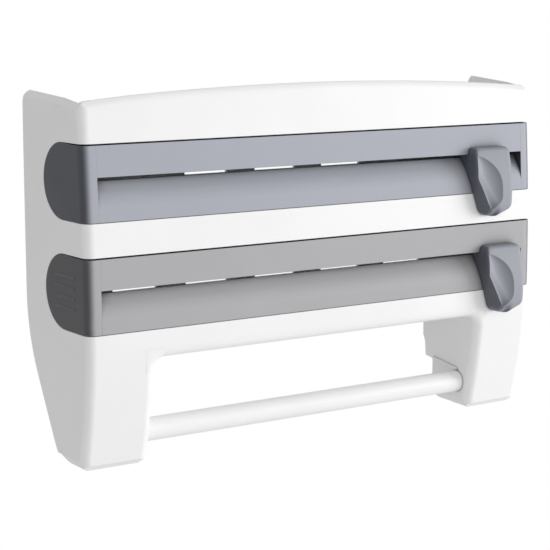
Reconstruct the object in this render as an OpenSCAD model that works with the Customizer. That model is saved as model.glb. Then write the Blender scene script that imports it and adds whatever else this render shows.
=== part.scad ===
// Wall-hung wrap organiser: white casing, two pull-out film boxes with sliding cutters, lift-out towel rod.
// Millimetres. X runs to the right, Y towards the wall, Z up. Names ending in _h are heights above the feet.

/* [Casing] */
// Width of the casing at the wall
body_w = 390; // [375:1:405]
// How far each side wall leans in between wall and front
side_lean = 5.9; // [4:0.1:8]
// Depth of the casing at its most forward height
body_d = 85.9; // [83:0.1:90]
// Height of the front's most forward line above the underside of the lower box
bulge_up = 5.5; // [3:0.5:8]
// Radius of the bowed front above that height
bow_up_r = 1440; // [1300:10:1600]
// Radius of the bowed front below that height
bow_low_r = 360; // [330:5:400]
// Height of the crown of the arched front above the middle of the upper box
crown_up = 60.6; // [58:0.2:63]
// Fall of the front top edge from the crown to the corners
crown_fall = 7; // [6:0.5:9]
// Rise of the side walls from the front corners to the back
ear_rise = 3.8; // [2:0.2:6]
// Rounding of the side walls at the rear top corner
ear_r = 11; // [8:1:14]
// Rounding of the outer edges of casing and legs
edge_r = 7; // [5:0.5:8]
// Wall thickness of the casing
wall = 2.6; // [2.2:0.1:3]
// Thickness of the shelf plates
deck_t = 2.4; // [2:0.1:3]
// Height of the top of the towel opening
band_h = 76.5; // [74:0.5:79]
// Front-view rounding of the top corners of the towel opening
window_r = 9; // [7:0.5:11]
// Height below which the rear edge of the side walls sweeps forward
tail_h = 116; // [112:1:120]
// Radius of that sweep
tail_r = 130; // [120:1:140]
// Lean of the lower rear edge from upright, in degrees
tail_lean = 26; // [24:0.5:28]
// Rounding of the rear bottom corner
heel_r = 12; // [10:0.5:14]

/* [Legs] */
// Clear distance between the two legs
leg_gap = 277; // [272:1:282]
// Floor thickness inside a leg
foot_t = 4.6; // [4:0.1:5.5]
// Distance of the inner leg wall's rear edge from the wall, at the top
inner_top_y = 17; // [15:0.5:19]
// Distance of the inner leg wall's rear edge from the wall, at the bottom
inner_low_y = 22.5; // [21:0.5:24]
// Rounding of the inner leg wall's rear bottom corner
inner_r = 13; // [11:0.5:15]

/* [Back panel] */
// Distance of the back panel from the wall
panel_back = 11; // [9:0.5:13]
// Thickness of the back panel
panel_t = 2.6; // [2.2:0.1:3]
// Distance of the panel's upper edge below the front corners
panel_drop = 7; // [5:0.5:8]
// Distance of the hanging holes below the panel's upper edge
hang_drop = 8; // [7.5:0.1:9]
// Distance between the hanging holes
hang_gap = 300; // [280:5:320]
// Radius of a hanging hole
hang_r = 2.5; // [2:0.1:3]
// Radius of the boss round a hanging hole
hang_boss_r = 7; // [6:0.2:7.4]
// Length of a back window
pane_w = 35; // [30:1:40]
// Distance between back windows
pane_gap = 59; // [55:0.5:62]
// Height of an upper back window below the middle of its box
up_pane_low = 6.2; // [5:0.1:8]
// Height of a lower back window below the middle of its box
low_pane_low = 11.2; // [10:0.1:13]
// Height of a back window above the middle of its box
pane_up = 6; // [4:0.5:9]
// Play of the panel between the side walls
panel_play = 0.3; // [0.2:0.1:0.5]

/* [Screws] */
// Shank radius of the panel screws
screw_r = 1.5; // [1.2:0.1:1.8]
// Head radius of the panel screws
screw_head_r = 3; // [2.6:0.1:3.4]
// Head height of the panel screws
screw_head_t = 1.8; // [1.5:0.1:2.2]
// Length of the panel screws below the head
screw_len = 12; // [10:0.5:14]
// Distance of the outer panel screws from the sides of the casing
screw_side = 25; // [20:1:30]
// Distance of the inner panel screws from the middle
screw_in_x = 60; // [50:1:70]
// Play round a screw shank
screw_play = 0.1; // [0.05:0.05:0.2]
// Width of the post that takes a panel screw
post_w = 9; // [8:0.5:11]

/* [Film boxes] */
// Height of a box
box_h = 51; // [49.5:0.2:51.6]
// Height of the middle of the lower box
low_mid_h = 123; // [122:0.2:124]
// Distance between the middles of the two boxes
box_pitch = 74.4; // [74:0.2:75.4]
// Distance of the round back's axis from the wall
box_axis_y = 54.4; // [53.5:0.1:55.5]
// Gap between a box and the casing
box_gap = 0.4; // [0.3:0.05:0.5]
// Wall thickness of a box
box_wall = 2.4; // [2:0.1:2.8]
// Distance of the film slot's ends from the sides of the casing
slot_side = 16; // [15:0.5:18]
// Height of the lip above the middle of the box
lip_up = 4; // [3.4:0.1:4.6]
// Height of the flush strip below the slot
strip_h = 13; // [12:0.2:14]
// Drop of the sill edge below the lip
sill_drop = 3.4; // [3:0.1:3.8]
// Depth of the sill edge behind the lip
sill_d = 9.3; // [8.8:0.1:10]
// Radius of the hollow sill
sill_r = 58; // [45:1:80]
// Depth of the flange along the top of the lid
flange_d = 9; // [7:0.5:10]
// Height of the trough's rear edge below the middle of the box
rim_low = 11; // [10:0.5:13]
// Thickness of an end cap's D-shaped end
cap_t = 2.6; // [2.2:0.1:3]
// Depth of the solid front of an end cap
cap_front_d = 14; // [13:0.5:15]
// Radius of the grip ribs on the lower end caps
grip_r = 0.8; // [0.6:0.1:1]
// Distance between the grip ribs
grip_gap = 7; // [6:0.5:8]

/* [Box fixings] */
// Length of the tongue that each cap reaches into the trough
tongue_l = 16; // [14:1:20]
// Thickness of that tongue
tongue_t = 4; // [3.5:0.1:5]
// Shank radius of a cap screw
cap_screw_r = 1.2; // [1:0.1:1.4]
// Head radius of a cap screw
cap_screw_head_r = 2.2; // [2:0.1:2.5]
// Head height of a cap screw
cap_screw_head_t = 1.2; // [1:0.1:1.4]

/* [Cutters] */
// Distance of the upper knob from the right end of its slot
up_knob_in = 34.7; // [24:0.1:60]
// Distance of the lower knob from the right end of its slot
low_knob_in = 24.2; // [23:0.1:60]
// Width of a knob
knob_w = 33.5; // [31:0.5:36]
// Height of a knob above the lip
knob_rise = 5; // [4:0.5:6]
// Length of a knob
knob_l = 52; // [50:0.5:54]
// How far the knob's top stands in front of the lip
knob_top_d = 8.4; // [7:0.2:9.5]
// How far the knob's belly stands in front of the lip
knob_belly_d = 16.4; // [15:0.2:17.5]
// Rounding of the knob's lower end, seen from the side
knob_tip_r = 5; // [4:0.2:5.6]
// Lean of the left side's lower half, seen from the front, in degrees
knob_turn = 17; // [12:0.5:20]
// Rounding of the knob's lower left corner, seen from the front
knob_left_r = 9; // [7:0.5:10]
// Rounding of the knob's lower right corner, seen from the front
knob_right_r = 6; // [5:0.5:8]
// Radius of the thumb scoop across the knob
scoop_r = 15.7; // [15:0.1:17]
// Radius of the thumb scoop along the knob
scoop_long_r = 90; // [86:0.5:94]
// Distance of the thumb scoop's axis in front of the lip
scoop_out = 99.9; // [99:0.1:101]
// Distance of the thumb scoop's axis below the knob's top
scoop_fall = 11.9; // [10:0.1:14]
// Distance of the thumb scoop's axis from the knob's left side
scoop_in = 9.25; // [8:0.25:11]
// Turn of the thumb scoop, seen from the front, in degrees
scoop_turn = 8; // [5:0.5:12]
// Play between knob and the faces behind it
knob_play = 0.6; // [0.5:0.05:0.8]
// Height of the cutter rail
rail_h = 7; // [6:0.2:8]
// Thickness of the cutter rail
rail_t = 3; // [2.6:0.1:3.4]
// Height of the rail's underside above the lip
rail_up = 5; // [4.6:0.1:6]
// Depth of the rail's front behind the lip
rail_d = 5.6; // [5.4:0.1:6]
// Depth of the rail's seat in a cap
rail_seat = 3; // [2.5:0.1:4]
// Play between carriage and rail
rail_play = 0.3; // [0.25:0.05:0.4]
// Length of the carriage
carriage_w = 28; // [26:0.5:30]
// Front wall of the carriage
carriage_front_t = 1; // [0.9:0.05:1.1]
// Arms and back of the carriage
carriage_t = 2.2; // [1.8:0.1:2.4]
// Depth of the stem's front behind the lip
stem_d = 3; // [2.9:0.05:3.2]
// Thickness of the stem and of the carriage's tongue
stem_t = 2.4; // [2:0.1:2.6]
// Width of one stem
stem_w = 7; // [6:0.2:8]
// Distance of a stem from the knob's middle
stem_x = 9.5; // [9.2:0.1:10]
// Thickness of the blade
blade_t = 0.6; // [0.5:0.05:0.7]
// Width of the blade
blade_w = 10; // [8:0.5:10.4]
// Reach of the blade below the middle of the box
blade_low = 2; // [1:0.1:2.4]
// Shank radius of a carriage screw
pin_r = 1; // [0.8:0.05:1.1]
// Head radius of a carriage screw
pin_head_r = 1.8; // [1.6:0.1:1.9]
// Head height of a carriage screw
pin_head_t = 1; // [0.8:0.1:1.1]

/* [Towel rod] */
// Radius of the rod
rod_r = 8.25; // [7.8:0.05:8.5]
// Distance of the rod's axis from the wall
rod_y = 60.3; // [59:0.1:61]
// Height of the rod's axis
rod_h = 21.5; // [20.5:0.1:22.5]
// Radius of the bore through the rod
rod_bore_r = 6.5; // [6:0.1:7]
// Running play of an end plug in the bore
rod_play = 0.05; // [0.03:0.01:0.08]
// How far the rod reaches into a groove
rod_in = 2.9; // [2.5:0.1:3.2]
// Length of an end plug inside the bore
plug_l = 14; // [12:0.5:20]
// Thickness of an end plug's collar
collar_t = 1.6; // [1.4:0.1:1.8]
// Play between collar and rod, and collar and groove floor
collar_play = 0.15; // [0.1:0.05:0.2]
// Play between rod and groove
groove_play = 0.35; // [0.3:0.05:0.5]
// Rise of the groove towards the wall, in degrees
groove_rise = 6.2; // [4:0.2:8]
// Wall left round and behind the groove
groove_wall = 2.2; // [1.8:0.1:3]
// How far the guide rib stands out above the groove
guide_t = 1.8; // [1.4:0.1:2.2]
// Thickness of the guide rib
guide_h = 1.6; // [1.2:0.1:2]
// Length of the guide rib
guide_l = 30; // [26:0.5:32]

/* [Hidden] */
$fn = 48;
// steps of a rounded corner in plan
corner_n = 8;
// steps of the rounded top edges
rim_n = 5;
// facets of the wide bows
bow_n = 1440;
// overshoot of a cut
over = 1;
// reach of shapes that are cut to size
far = 150;
// sweep of the bowed front above and below the bulge, in degrees
sweep_up = 7.2;
sweep_low = 20;
// overlap of the two sweeps, in degrees, and the hair by which the lower one stays inside the upper
sweep_lap = 0.1;
lap_step = 0.03;
// hairline between the casing's upper and lower sweep, and the tab inside the side wall that crosses it
seam_gap = 0.1;
seam_tab_h = 12;
seam_tab_in = 4;
// depth of the swept plan behind the front
deep = body_d + 12;
up_mid_h = low_mid_h + box_pitch;
box_r = box_h/2;
notch_r = box_r + box_gap;
bulge_h = low_mid_h - box_r + bulge_up;
crown_h = up_mid_h + crown_up;
shoulder_h = crown_h - crown_fall;
ear_h = shoulder_h + ear_rise;
panel_top_h = shoulder_h - panel_drop;
hang_h = panel_top_h - hang_drop;
slot_x = body_w/2 - slot_side;
screw_out_x = body_w/2 - screw_side;
up_knob_x = slot_x - up_knob_in;
low_knob_x = slot_x - low_knob_in;
// ends of the tongue that takes the cap screws
tongue_back = -box_axis_y;
tongue_front = -box_axis_y - 8*cap_screw_head_r;
// end of a carriage screw, behind the front of the stem
pin_end = 1.8*stem_t;
leg_x = leg_gap/2;
groove_r = rod_r + groove_play;
groove_d = rod_in + 2*collar_play + collar_t;
plug_r = rod_bore_r - rod_play;
post_mid_h = (up_mid_h + low_mid_h)/2;
panel_low_h = low_mid_h - notch_r - deck_t;
panel_x = half_w(-panel_back - panel_t, panel_top_h) - wall - panel_play;
// what the rounding takes off the top of a thin wall, and the axis of the rounding at corner and crown
rim_lift = edge_r - sqrt(edge_r*edge_r - pow(edge_r - wall, 2));
rim_h = shoulder_h + rim_lift - edge_r;
rim_y = front_y(rim_h, edge_r);
rim_x = half_w(rim_y, rim_h) - edge_r;
rim_mid_h = crown_h + rim_lift - edge_r;
rim_mid_y = front_y(rim_mid_h, edge_r);
rim_tilt = atan2(rim_mid_y - rim_y, rim_mid_h - rim_h);
rim_sag = norm([rim_mid_y - rim_y, rim_mid_h - rim_h]);
arch_r = (rim_x*rim_x + rim_sag*rim_sag)/(2*rim_sag);
// fall of the side walls from back to front
ear_fall = (ear_h - shoulder_h)/(-ear_r - rim_y);
// axis of the rounded lower edge of a leg and of the lower band
foot_y = front_y(edge_r, edge_r);
foot_x = half_w(foot_y, edge_r) - edge_r;
sill_y = front_y(band_h + edge_r, edge_r);
// rear edge of the side walls
tail_end = [-tail_r + tail_r*cos(tail_lean), tail_h - tail_r*sin(tail_lean)];
heel_line_y = tail_end[0] - tail_end[1]*tan(tail_lean);
heel_y = heel_line_y - heel_r*(1 - sin(tail_lean))/cos(tail_lean);
// where the rear edges of the inner and outer leg walls meet
join_h = 0.6*band_h;
tail_join = [tail_end[0] - (tail_end[1] - join_h)*tan(tail_lean), join_h];

// Y of the axis about which the front with radius r is bowed
function bow_y(r) = r - body_d;
function bow_r(h) = h >= bulge_h ? bow_up_r : bow_low_r;
// Y of the front, or of a face set in from it, at height h
function front_y(h, inset = 0) = let (r = bow_r(h)) bow_y(r) - sqrt(pow(r - inset, 2) - pow(h - bulge_h, 2));
// half width of the casing at a place
function half_w(y, h) = let (r = bow_r(h)) side_x(r - norm([bow_y(r) - y, h - bulge_h]), 0);
function side_x(d, inset) = body_w/2 - side_lean + side_lean*d/body_d - inset;
// points of an arc
function arc(c, r, a0, a1, n) = [for (i = [0:n]) let (a = a0 + (a1 - a0)*i/n) c + r*[cos(a), sin(a)]];
function lip_h(mid) = mid + lip_up;
function lip_y(mid) = front_y(lip_h(mid));
function strip_top(mid) = mid - box_r + strip_h;

// puts heights above the feet into the frame of the hanging holes
module placed() translate([0, 0, -hang_h]) children();
module both_sides() { children(); mirror([1, 0, 0]) children(); }
// draws a side view, Y across and height up, from x0 to x1
module along_x(x0, x1) translate([x0, 0, 0]) rotate([90, 0, 90]) linear_extrude(x1 - x0) children();
// draws a front view, X across and height up, from y0 to y1
module along_y(y0, y1) translate([0, y1, 0]) rotate([90, 0, 0]) linear_extrude(y1 - y0) children();
module block(lo, hi) translate(lo) cube(hi - lo);
// round bar between two points
module bar(p, q, r) {
    v = q - p;
    translate(p) rotate([0, acos(v[2]/norm(v)), atan2(v[1], v[0])]) cylinder(h = norm(v), r = r);
}

// plan of the casing, as distance from the bow axis and X, set in by a wall
module plan_full(r, inset) {
    e = edge_r - inset;
    x = side_x(inset + e, inset) - e;
    right = arc([r - inset - e, x], e, 90, 0, corner_n);
    left = [for (i = [corner_n:-1:0]) [right[i][0], -right[i][1]]];
    polygon(concat([[r - deep, side_x(deep, inset)]], right, left, [[r - deep, -side_x(deep, inset)]]));
}
// plan of one leg
module plan_leg(r, inset) {
    e = edge_r - inset;
    x = side_x(inset + e, inset) - e;
    outer = arc([r - inset - e, x], e, 90, 0, corner_n);
    inner = arc([r - inset - e, leg_x + inset + e], e, 0, -90, corner_n);
    polygon(concat([[r - deep, side_x(deep, inset)]], outer, inner, [[r - deep, leg_x + inset]]));
}
module swept_up() translate([0, bow_y(bow_up_r), bulge_h]) rotate([90, 0, -90])
    rotate_extrude(angle = sweep_up, $fn = bow_n) children();
module swept_low() translate([0, bow_y(bow_low_r), bulge_h]) rotate([90, 0, -90])
    rotate([0, 0, -sweep_low]) rotate_extrude(angle = sweep_low + sweep_lap, $fn = bow_n/2) children();
// side view of everything behind the front
module front_view(inset = 0) {
    intersection() {
        translate([bow_y(bow_up_r), bulge_h]) circle(r = bow_up_r - inset, $fn = 4*bow_n);
        translate([-far, bulge_h]) square([far, 2*far]);
    }
    intersection() {
        translate([bow_y(bow_low_r), bulge_h]) circle(r = bow_low_r - inset, $fn = bow_n);
        translate([-far, bulge_h - far]) square([far, far]);
    }
}

// side view of the casing's outline
module side_outline() {
    ear = arc([-ear_r, ear_h + rim_lift - ear_r], ear_r, 0, 90, corner_n);
    tail = arc([-tail_r, tail_h], tail_r, -tail_lean, 0, 2*corner_n);
    heel = arc([heel_y, heel_r], heel_r, -90, -tail_lean, corner_n);
    toe = arc([foot_y, edge_r], edge_r, -160, -90, corner_n);
    polygon(concat([[-far, toe[0][1]]], toe, heel, tail, ear,
        [[rim_y, shoulder_h + rim_lift], [rim_y, crown_h + edge_r], [-far, crown_h + edge_r]]));
}
// one step of the rounding along the arched top edge of the front, as a cone about the arch's axis
module arch_cone(i) {
    bend = arc([0, arch_r], edge_r, 90, 180, rim_n);
    p = bend[i];
    k = (p[1] - bend[i + 1][1])/(p[0] - bend[i + 1][0]);
    y0 = -3*edge_r;
    y1 = body_d + 3*edge_r;
    translate([0, rim_mid_y, rim_mid_h]) rotate([-rim_tilt, 0, 0])
        translate([0, 0, -arch_r]) rotate([-90, 0, 0])
        translate([0, 0, y0])
        cylinder(h = y1 - y0, r1 = p[1] + k*(y0 - p[0]), r2 = p[1] + k*(y1 - p[0]), $fn = 2*bow_n);
}
// cut that rounds the outer top edge of the right side wall
module ear_cut() {
    bend = arc([0, 0], edge_r, 0, 90, rim_n);
    out = bend[0] + 2*(bend[0] - bend[1]);
    translate([rim_x, rim_y, rim_h]) rotate([atan(ear_fall), 0, -atan(side_lean/body_d)]) rotate([90, 0, 0])
        translate([0, 0, -body_d]) linear_extrude(body_d + 2*edge_r)
        polygon(concat([out], [for (i = [1:rim_n]) bend[i]], [[-2*over, edge_r], [-2*over, 3*edge_r],
            [3*edge_r, 3*edge_r], [3*edge_r, out[1]]]));
}
// casing above the bulge
module upper_shell() difference() {
    intersection() {
        swept_up() plan_full(bow_up_r, 0);
        along_x(-2*far, 2*far) side_outline();
        arch_cone(0);
        arch_cone(1);
        arch_cone(2);
        arch_cone(3);
        arch_cone(4);
    }
    both_sides() ear_cut();
    translate([0, 0, -over/10]) swept_up() plan_full(bow_up_r, wall);
}
// side view of band and legs, back to the rear edge of the inner leg walls
module low_outline() {
    toe = arc([foot_y, edge_r], edge_r, -160, -90, corner_n);
    low = arc([-inner_low_y - inner_r, inner_r], inner_r, -90, 0, corner_n);
    tail = arc([-tail_r, tail_h], tail_r, -tail_lean, 0, 2*corner_n);
    polygon(concat([[-far, toe[0][1]]], toe, low, [tail_join], tail, [[-far, tail_h]]));
}
// front view of the feet, with their lower corners rounded
module feet_front() {
    outer = arc([foot_x, edge_r], edge_r, -10, -90, corner_n);
    inner = arc([leg_x + edge_r, edge_r], edge_r, 270, 180, rim_n);
    n = rim_n - 1;
    right = concat([[foot_x + 2*edge_r, bulge_h + over], [foot_x + 2*edge_r, edge_r]], outer,
        [for (i = [0:n]) inner[i]], [inner[n] + 2*(inner[n] - inner[n - 1])]);
    polygon(concat(right, [for (i = [len(right) - 1:-1:0]) [-right[i][0], right[i][1]]]));
}
// plan of the towel opening, flared at the front by the rounding of the legs' inner edges
module plan_window(r) {
    bend = arc([r - edge_r, leg_x + edge_r], edge_r, 0, -90, corner_n);
    right = concat([bend[0] + 2*(bend[0] - bend[1])], [for (i = [1:corner_n]) bend[i]], [[r - deep, leg_x]]);
    polygon(concat(right, [for (i = [len(right) - 1:-1:0]) [right[i][0], -right[i][1]]]));
}
// cut that rounds the lower edge of the band between the legs
module sill_cut() {
    bend = arc([sill_y, band_h + edge_r], edge_r, 180, 270, rim_n);
    out = bend[0] + 2*(bend[0] - bend[1]);
    along_x(-leg_x - 0.8*edge_r, leg_x + 0.8*edge_r)
        polygon(concat([out], [for (i = [1:rim_n]) bend[i]], [[sill_y + 2*over, band_h],
            [sill_y + 2*over, band_h - over], [-far, band_h - over], [-far, out[1]]]));
}
// cut that sweeps the rear edge of the right outer leg wall forward
module tail_cut() {
    heel = arc([heel_y, heel_r], heel_r, -90, -tail_lean, corner_n);
    out = heel[0] + 2*(heel[0] - heel[1]);
    along_x(leg_x + 2*wall, 2*far) polygon(concat([out], [for (i = [1:corner_n]) heel[i]],
        [tail_join, [over, tail_join[1]], [over, out[1]]]));
}
// casing from the feet up to the bulge
module lower_shell() difference() {
    intersection() {
        swept_low() plan_full(bow_low_r, 0);
        along_x(-2*far, 2*far) low_outline();
        along_y(-far, over) feet_front();
        block([-2*far, -far, -over], [2*far, far, bulge_h - seam_gap]);
    }
    intersection() {
        translate([0, 0, over]) swept_low() plan_full(bow_low_r, wall);
        block([-2*far, -far, band_h + wall], [2*far, far, bulge_h + 2*over]);
    }
    intersection() {
        swept_low() plan_window(bow_low_r);
        block([-2*far, -far, -far], [2*far, far, band_h]);
    }
    sill_cut();
    both_sides() tail_cut();
    both_sides() intersection() {
        mirror([1, 0, 0]) swept_low() plan_leg(bow_low_r, wall);
        block([0, -far, foot_t], [2*far, far, band_h - over/2]);
    }
    block([-leg_x - wall - over, -inner_top_y, inner_top_y + over],
        [leg_x + wall + over, over, bulge_h + over]);
}
// web that rounds a top corner of the towel opening
module window_corner() {
    bend = arc([leg_x - window_r, band_h - window_r], window_r, 90, 0, corner_n);
    n = corner_n - 1;
    along_y(sill_y, -inner_top_y - over) polygon(concat([[leg_x + wall/2, band_h - window_r],
        [leg_x + wall/2, band_h + wall/2], [leg_x - window_r, band_h + wall/2], 2*bend[1] - bend[2]],
        [for (i = [1:n]) bend[i]], [2*bend[n] - bend[n - 1]]));
}
// run of the rod's groove, seen from the side
module groove_view(r, back) translate([-rod_y, rod_h]) rotate(groove_rise) {
    circle(r = r);
    translate([0, -r]) square([back, 2*r]);
}
module leg_details() {
    window_corner();
    intersection() {
        along_x(leg_x + wall/2, leg_x + groove_d + groove_wall) groove_view(groove_r + groove_wall, rod_y);
        block([0, -far, 0], [2*far, -inner_low_y - over, far]);
    }
    translate([0, -rod_y, rod_h]) rotate([groove_rise, 0, 0])
        block([leg_x - guide_t, 0, groove_r + guide_h/4], [leg_x + over, guide_l, groove_r + 1.25*guide_h]);
}
// shelf plate that ends inside the front and side walls
module deck(low_h) {
    y0 = front_y(low_h + deck_t/2, wall/2);
    y1 = -panel_back - panel_t;
    c = 0.7*edge_r;
    right = [[side_x(0, wall/2) - c, y0], [side_x(c, wall/2), y0 + c], [half_w(y1, low_h) - wall/2, y1]];
    left = [for (i = [2:-1:0]) [-right[i][0], right[i][1]]];
    translate([0, 0, low_h]) linear_extrude(deck_t) polygon(concat(right, left));
}
module box_view(mid, r) {
    translate([-box_axis_y, mid]) circle(r = r);
    translate([-far, mid - r]) square([far - box_axis_y, 2*r]);
}
module at_panel_screws() for (x = [-screw_out_x, -screw_in_x, screw_in_x, screw_out_x])
    translate([x, -panel_back, post_mid_h]) rotate([90, 0, 0]) children();

module notches() for (mid = [low_mid_h, up_mid_h]) along_x(-2*far, 2*far) box_view(mid, notch_r);
module casing() color([0.95, 0.95, 0.95]) placed() {
    difference() {
        union() {
            upper_shell();
            deck(low_mid_h + notch_r);
            deck(up_mid_h - notch_r - deck_t);
            deck(up_mid_h + notch_r);
            for (x = [-screw_out_x, -screw_in_x, screw_in_x, screw_out_x])
                block([x - post_w/2, -panel_back - panel_t - screw_len - post_w/2,
                    low_mid_h + notch_r + deck_t/2],
                    [x + post_w/2, -panel_back - panel_t, up_mid_h - notch_r - deck_t/2]);
        }
        notches();
        at_panel_screws() cylinder(h = panel_t + screw_len + over, r = screw_r + screw_play);
    }
    difference() {
        union() {
            lower_shell();
            deck(low_mid_h - notch_r - deck_t);
            both_sides() leg_details();
        }
        notches();
        both_sides() along_x(leg_x - over, leg_x + groove_d) groove_view(groove_r, rod_y);
    }
    both_sides() translate([0, 0, bulge_h - seam_tab_h/2]) linear_extrude(seam_tab_h) {
        near = box_axis_y - notch_r + seam_tab_in/2;
        x0 = half_w(-near, bulge_h);
        x1 = half_w(-seam_tab_in, bulge_h);
        polygon([[x0 - wall/3, -near], [x1 - wall/3, -seam_tab_in],
            [x1 - 2*wall/3, -seam_tab_in], [x0 - 2*wall/3, -near]]);
    }
}

module back_panel() color([0.93, 0.93, 0.93]) placed() difference() {
    union() {
        block([-panel_x, -panel_back - panel_t, panel_low_h], [panel_x, -panel_back, panel_top_h]);
        for (x = [-hang_gap/2, hang_gap/2]) translate([x, 0, hang_h]) rotate([90, 0, 0])
            cylinder(h = panel_back + panel_t/2, r = hang_boss_r);
    }
    for (row = [[low_mid_h, low_pane_low, 2], [up_mid_h, up_pane_low, 1]], i = [-row[2]:row[2]])
        block([i*pane_gap - pane_w/2, -far, row[0] - row[1]], [i*pane_gap + pane_w/2, far, row[0] + pane_up]);
    for (x = [-hang_gap/2, hang_gap/2]) translate([x, over, hang_h]) rotate([90, 0, 0])
        cylinder(h = panel_back + panel_t + 2*over, r = hang_r);
    at_panel_screws() translate([0, 0, -over]) cylinder(h = panel_t + 2*over, r = screw_r + screw_play);
}

module panel_screws() color([0.7, 0.7, 0.72]) placed() at_panel_screws() {
    translate([0, 0, -screw_head_t]) cylinder(h = screw_head_t, r = screw_head_r);
    translate([0, 0, -over/2]) cylinder(h = panel_t + screw_len + over/2, r = screw_r);
}

module lid(mid) color([0.69, 0.7, 0.71]) placed() along_x(-slot_x, slot_x) {
    difference() {
        intersection() {
            front_view();
            translate([-far, lip_h(mid)]) square([far, box_r - lip_up]);
        }
        intersection() {
            front_view(box_wall);
            translate([-far, 0]) square([far, mid + box_r - box_wall]);
        }
        translate([lip_y(mid) + flange_d, 0]) square([far, 2*far]);
    }
}
// hollow sill, as a curved plate
module sill_view(mid) {
    a = [front_y(strip_top(mid)), strip_top(mid)];
    b = [lip_y(mid) + sill_d, lip_h(mid) - sill_drop];
    v = (b - a)/norm(b - a);
    c = (a + b)/2 + [-v[1], v[0]]*sqrt(sill_r*sill_r - pow(norm(b - a)/2, 2));
    a0 = atan2(a[1] - c[1], a[0] - c[0]);
    a1 = atan2(b[1] - c[1], b[0] - c[0]);
    polygon(concat(arc(c, sill_r, a0, a1, corner_n), arc(c, sill_r + box_wall, a1, a0, corner_n)));
}
module at_cap_screws(mid) for (x = [-slot_x + tongue_l/2, slot_x - tongue_l/2],
    y = [tongue_back - 2*cap_screw_head_r, tongue_front + 2*cap_screw_head_r])
    translate([x, y, mid - box_r]) children();
module trough(mid) color([0.69, 0.7, 0.71]) placed() difference() {
    union() {
        along_x(-slot_x, slot_x) difference() {
            intersection() {
                front_view();
                box_view(mid, box_r);
                translate([-far, 0]) square([far, mid - rim_low]);
            }
            intersection() {
                front_view(box_wall);
                box_view(mid, box_r - box_wall);
            }
            translate([-far, strip_top(mid)]) square([far - box_axis_y, far]);
        }
        along_x(-slot_x, slot_x) sill_view(mid);
    }
    at_cap_screws(mid) {
        translate([0, 0, -over]) cylinder(h = box_wall + 2*over, r = cap_screw_r + screw_play);
        translate([0, 0, -over]) cylinder(h = cap_screw_head_t + over, r = cap_screw_head_r + screw_play);
    }
}
module rail_view(mid, play) translate([lip_y(mid) + rail_d - play, lip_h(mid) + rail_up - play])
    square([rail_t + 2*play, rail_h + 2*play]);
// one end of a box, set in by walls; the sweeps above and below the bulge are kept apart
module cap_form(mid, inset, r, x0) {
    intersection() {
        swept_up() plan_full(bow_up_r, inset);
        along_x(x0, 2*far) box_view(mid, r);
    }
    if (mid - r < bulge_h) intersection() {
        swept_low() plan_full(bow_low_r, inset + lap_step);
        along_x(x0, 2*far) box_view(mid, r);
    }
}
module right_cap(mid, grips) color([0.5, 0.51, 0.52]) placed() difference() {
    union() {
        difference() {
            cap_form(mid, 0, box_r, slot_x);
            intersection() {
                along_x(slot_x - over, side_x(0, cap_t)) box_view(mid, box_r - box_wall);
                block([0, lip_y(mid) + cap_front_d, 0], [2*far, over, 2*far]);
            }
        }
        block([slot_x - tongue_l, tongue_front, mid - box_r + box_wall],
            [slot_x + over, tongue_back, mid - box_r + box_wall + tongue_t]);
        block([slot_x, tongue_front, mid - box_r + box_wall/2],
            [side_x(0, cap_t) + over, tongue_back - over, mid - box_r + box_wall + tongue_t]);
        for (i = grips) {
            h = mid + grip_gap*i;
            bar([half_w(-box_axis_y - box_r/2, h), -box_axis_y - box_r/2, h],
                [half_w(-box_axis_y + box_r/2, h), -box_axis_y + box_r/2, h], grip_r);
        }
    }
    along_x(slot_x - over, slot_x + rail_seat) rail_view(mid, screw_play);
    at_cap_screws(mid) cylinder(h = box_wall + tongue_t + over, r = cap_screw_r + screw_play);
}
module left_cap(mid, grips) mirror([1, 0, 0]) right_cap(mid, grips);
module cap_screws(mid) color([0.7, 0.7, 0.72]) placed() at_cap_screws(mid) {
    cylinder(h = cap_screw_head_t, r = cap_screw_head_r);
    cylinder(h = box_wall + tongue_t, r = cap_screw_r);
}
module rail(mid) color([0.72, 0.72, 0.74]) placed()
    along_x(-slot_x - rail_seat + screw_play, slot_x + rail_seat - screw_play) rail_view(mid, 0);

// side view of a knob
module knob_view(mid) {
    y = lip_y(mid);
    top = lip_h(mid) + knob_rise;
    low = top - knob_l;
    tip = [y - knob_belly_d + knob_tip_r, low + knob_tip_r];
    b = [y + sill_d, lip_h(mid) - sill_drop];
    s = strip_top(mid);
    back = [for (i = [0:4]) let (h = low + (s - low)*i/4) [front_y(h) - knob_play, h]];
    front = [for (i = [0:rim_n]) let (k = i/(rim_n + 1))
        [y - knob_belly_d + (knob_belly_d - knob_top_d)*pow(1 - k, 2), top - k*(knob_l - knob_tip_r)]];
    polygon(concat([[y - knob_play, top]], front,
        arc(tip, knob_tip_r, 180, 270, corner_n), [[back[0][0], low]], back,
        [b + [-2*knob_play, -2*knob_play], b + [-2*knob_play, sill_drop - knob_play],
        [y - knob_play, lip_h(mid) - knob_play]]));
}
// front view of a knob: its left side turns in towards the tip
module knob_front(mid) {
    top = lip_h(mid) + knob_rise;
    low = top - knob_l;
    s = strip_top(mid);
    left = [-knob_w/2 + (knob_left_r + (s - low - knob_left_r)*sin(knob_turn))/cos(knob_turn),
        low + knob_left_r];
    polygon(concat([[-knob_w/2, top], [-knob_w/2, s]],
        arc(left, knob_left_r, 180 + knob_turn, 270, corner_n),
        arc([knob_w/2 - knob_right_r, low + knob_right_r], knob_right_r, 270, 360, corner_n),
        [[knob_w/2, top]]));
}
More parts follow.
